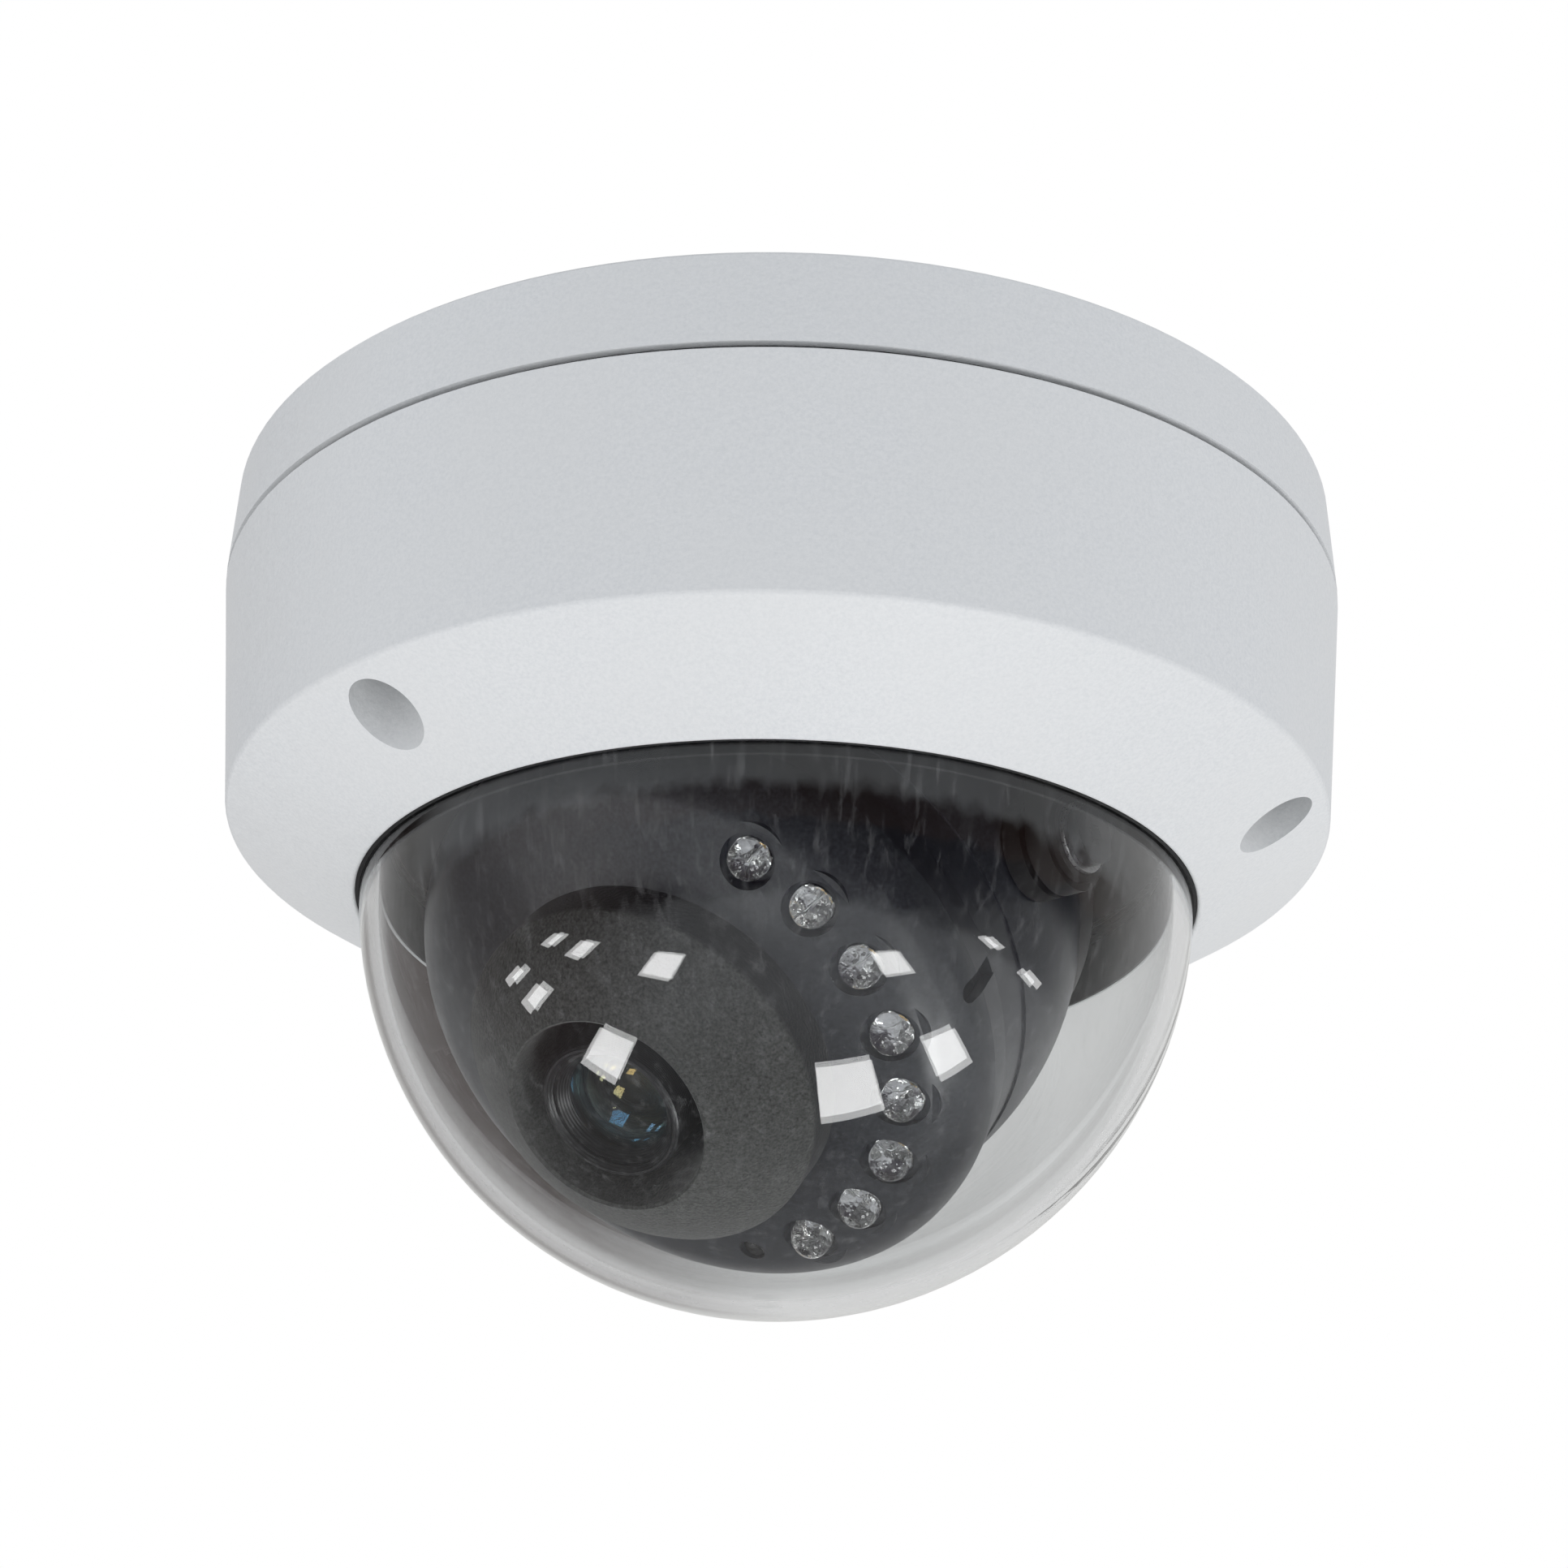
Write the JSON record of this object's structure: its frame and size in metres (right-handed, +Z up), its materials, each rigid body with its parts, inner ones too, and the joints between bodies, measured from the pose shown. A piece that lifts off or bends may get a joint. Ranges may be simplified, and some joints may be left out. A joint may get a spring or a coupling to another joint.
{
  "type": "dome cctv camera",
  "caption": "Ceiling dome camera: round drafted metal base and cover, clear bubble, and a pan, tilt and roll camera eyeball with infrared lamps inside.",
  "frame": {"origin": "centre of the flat ceiling face of the base", "axes": "+Z up into the ceiling along the pan axis, -Y the front, +X to the right seen from the front"},
  "size_m": [0.1446, 0.1446, 0.1042],
  "materials": {
    "white_paint": "fine textured powder coat on die-cast aluminium",
    "clear_dome": "polished clear polycarbonate",
    "black_rubber": "matt rubber",
    "shell_plastic": "satin dark moulding",
    "bracket_plastic": "satin dark moulding",
    "shield_foam": "grainy soft collar",
    "lamp_epoxy": "water-clear epoxy",
    "lens_metal": "black anodised",
    "lens_glass": "coated glass",
    "filter_glass": "coated glass",
    "steel": "plain steel",
    "black_steel": "black oxide steel",
    "brass": "plain brass",
    "board_green": "solder mask on glass laminate",
    "board_black": "black solder mask",
    "chip_black": "moulded epoxy",
    "connector_nylon": "natural nylon",
    "sensor_glass": "cover glass over silicon",
    "coil_copper": "enamelled copper"
  },
  "bodies": {
    "base": {"base_housing": "white_paint", "base_gasket": "black_rubber", "cable_grommet": "black_rubber", "main_board": "board_green", "board_standoffs": "brass", "board_screws": "steel", "board_chips": "chip_black", "board_connectors": "connector_nylon", "network_transformer": "chip_black", "pan_seat_ring": "steel", "seat_ring_screws": "steel"},
    "yoke": {"pan_turntable": "bracket_plastic", "pan_retainer_ring": "steel", "pan_retainer_screws": "steel", "yoke_arm_left": "bracket_plastic", "yoke_arm_right": "bracket_plastic", "yoke_screws": "black_steel"},
    "cradle": {"tilt_cradle": "bracket_plastic", "tilt_washers": "steel", "tilt_pivot_screws": "black_steel"},
    "eyeball": {"led_cover": "shell_plastic", "rear_shell": "shell_plastic", "shell_screws": "steel", "light_shield": "shield_foam", "lens_barrel": "lens_metal", "lens_front_element": "lens_glass", "lens_retaining_ring": "lens_metal", "lens_rear_element": "lens_glass", "lens_holder": "chip_black", "holder_screws": "steel", "sensor_board": "board_black", "sensor_board_screws": "steel", "image_sensor": "sensor_glass", "sensor_chips": "chip_black", "lamp_board": "board_black", "ir_lamps": "lamp_epoxy", "light_sensor": "lamp_epoxy", "rear_cap": "shell_plastic", "roll_retainer": "steel", "filter_coil": "coil_copper"},
    "filter": {"filter_carrier": "chip_black", "ir_cut_filter": "filter_glass", "clear_window": "filter_glass"},
    "cover": {"cover_shell": "white_paint", "dome_bubble": "clear_dome", "dome_seal": "black_rubber", "dome_clamp_ring": "steel", "inner_liner": "bracket_plastic", "clamp_ring_screws": "steel", "cover_screws": "steel", "cover_screw_orings": "black_rubber"}
  },
  "joints": [
    {"name": "pan", "type": "hinge", "parent": "base", "child": "yoke", "pos_m": [0, 0, -0.0142], "axis": [0, 0, 1], "range_deg": [-177.5, 177.5]},
    {"name": "tilt", "type": "hinge", "parent": "yoke", "child": "cradle", "pos_m": [0, 0, -0.054], "axis": [-0.7859, 0.6184, 0], "range_deg": [-42, 33]},
    {"name": "roll", "type": "hinge", "parent": "cradle", "child": "eyeball", "pos_m": [0, 0, -0.054], "axis": [-0.4138, -0.5258, -0.7431], "range_deg": [-177.5, 177.5]},
    {"name": "filter_slide", "type": "slide", "parent": "eyeball", "child": "filter", "axis": [-0.7859, 0.6184, 0], "range_m": [0, 0.0072]},
    {"name": "cover_removal", "type": "slide", "parent": "base", "child": "cover", "axis": [0, 0, -1], "range_m": [0, 0.115]}
  ]
}
